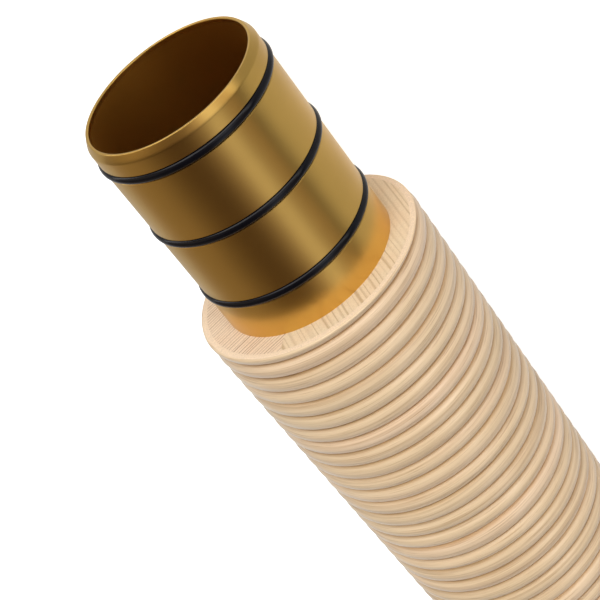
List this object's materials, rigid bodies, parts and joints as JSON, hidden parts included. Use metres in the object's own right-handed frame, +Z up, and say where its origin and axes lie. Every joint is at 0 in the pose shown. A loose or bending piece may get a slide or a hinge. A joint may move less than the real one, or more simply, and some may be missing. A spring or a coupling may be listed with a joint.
{
  "type": "alphorn",
  "caption": "Long conical wooden horn wound with rattan, in push-fit sections with sealed metal tenons, an upturned bell and a wooden mouthpiece.",
  "frame": {"origin": "centre of the footprint of the laid-out horn, on the floor it lies on", "axes": "+X along the horn from the mouthpiece towards the bell, +Y to the left half, +Z up"},
  "size_m": [3.574, 0.255, 0.3424],
  "materials": {
    "spruce": "satin",
    "rattan": "satin",
    "gold_metal": "satin",
    "rubber": "satin",
    "boxwood": "satin",
    "walnut": "satin"
  },
  "bodies": {
    "bell_section": {"bell_socket_bush": "gold_metal", "bell_half_left": "spruce", "bell_half_right": "spruce", "bell_winding": "rattan", "bell_rim_band": "rattan", "foot": "walnut", "foot_pad_left": "rubber", "foot_pad_right": "rubber"},
    "middle_seals": {"middle_o_ring_1": "rubber", "middle_o_ring_2": "rubber", "middle_o_ring_3": "rubber"},
    "middle_section": {"middle_tenon": "gold_metal", "middle_tube_half_left": "spruce", "middle_tube_half_right": "spruce", "middle_tube_winding": "rattan", "middle_tube_end_winding": "rattan", "middle_socket_bush": "gold_metal"},
    "hand_seals": {"hand_o_ring_1": "rubber", "hand_o_ring_2": "rubber", "hand_o_ring_3": "rubber"},
    "hand_section": {"hand_tenon": "gold_metal", "hand_tube_half_left": "spruce", "hand_tube_half_right": "spruce", "hand_tube_winding": "rattan", "mouthpiece_receiver": "gold_metal"},
    "mouthpiece": {"mouthpiece": "boxwood"}
  },
  "joints": [
    {"name": "middle_joint_slide", "type": "slide", "parent": "bell_section", "child": "middle_seals", "axis": [1, 0, 0.0098], "range_m": [0, 0.18]},
    {"name": "middle_joint_twist", "type": "hinge", "parent": "middle_seals", "child": "middle_section", "pos_m": [0.33136, 0, 0.03541], "axis": [1, 0, 0.0098], "continuous": true},
    {"name": "hand_joint_slide", "type": "slide", "parent": "middle_section", "child": "hand_seals", "axis": [1, 0, 0.0098], "range_m": [-0.1, 0]},
    {"name": "hand_joint_twist", "type": "hinge", "parent": "hand_seals", "child": "hand_section", "pos_m": [-0.72858, 0, 0.02502], "axis": [1, 0, 0.0098], "continuous": true},
    {"name": "mouthpiece_slide", "type": "slide", "parent": "hand_section", "child": "mouthpiece", "axis": [1, 0, 0.0098], "range_m": [-0.05, 0]}
  ]
}
